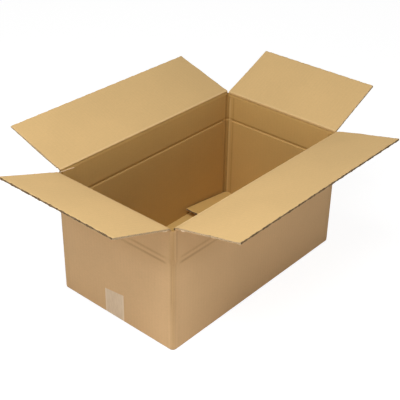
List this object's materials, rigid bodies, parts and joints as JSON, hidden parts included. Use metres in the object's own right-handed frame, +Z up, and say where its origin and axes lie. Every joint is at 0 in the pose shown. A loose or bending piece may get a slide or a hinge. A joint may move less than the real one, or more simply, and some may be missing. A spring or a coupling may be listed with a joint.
{
  "type": "open cardboard box",
  "caption": "Open double-wall corrugated shipping box: folded body taped under its bottom seam, hinged top flaps standing open and loose short bottom flaps inside.",
  "frame": {"origin": "middle of the base, on the floor", "axes": "+X along the long walls towards the right short wall, +Y towards the back long wall, +Z up out of the open top"},
  "size_m": [0.7684, 0.5764, 0.3281],
  "materials": {
    "board": "matte brown kraft board",
    "flap_board": "matte brown kraft board, inner liner",
    "tape": "clear packing tape over brown board"
  },
  "bodies": {
    "carton": {"carton_body": "board", "bottom_tape": "tape"},
    "front_top_flap": {"front_top_flap": "flap_board"},
    "back_top_flap": {"back_top_flap": "flap_board"},
    "left_top_flap": {"left_top_flap": "flap_board"},
    "right_top_flap": {"right_top_flap": "flap_board"},
    "left_bottom_flap": {"left_bottom_flap": "flap_board"},
    "right_bottom_flap": {"right_bottom_flap": "flap_board"}
  },
  "joints": [
    {"name": "front_top_fold", "type": "hinge", "parent": "carton", "child": "front_top_flap", "pos_m": [0, -0.1472, 0.2692], "axis": [-1, 0, 0], "range_deg": [-63, 167]},
    {"name": "back_top_fold", "type": "hinge", "parent": "carton", "child": "back_top_flap", "pos_m": [0, 0.1472, 0.2692], "axis": [1, 0, 0], "range_deg": [-67.5, 162.5]},
    {"name": "left_top_fold", "type": "hinge", "parent": "carton", "child": "left_top_flap", "pos_m": [-0.252, 0, 0.2658], "axis": [0, 1, 0], "range_deg": [-68.9, 161.1]},
    {"name": "right_top_fold", "type": "hinge", "parent": "carton", "child": "right_top_flap", "pos_m": [0.252, 0, 0.2658], "axis": [0, -1, 0], "range_deg": [-74.4, 155.6]},
    {"name": "left_bottom_fold", "type": "hinge", "parent": "carton", "child": "left_bottom_flap", "pos_m": [-0.2478, 0, 0.0102], "axis": [0, -1, 0], "range_deg": [0, 88]},
    {"name": "right_bottom_fold", "type": "hinge", "parent": "carton", "child": "right_bottom_flap", "pos_m": [0.2478, 0, 0.0102], "axis": [0, 1, 0], "range_deg": [-6.5, 81.5]}
  ]
}
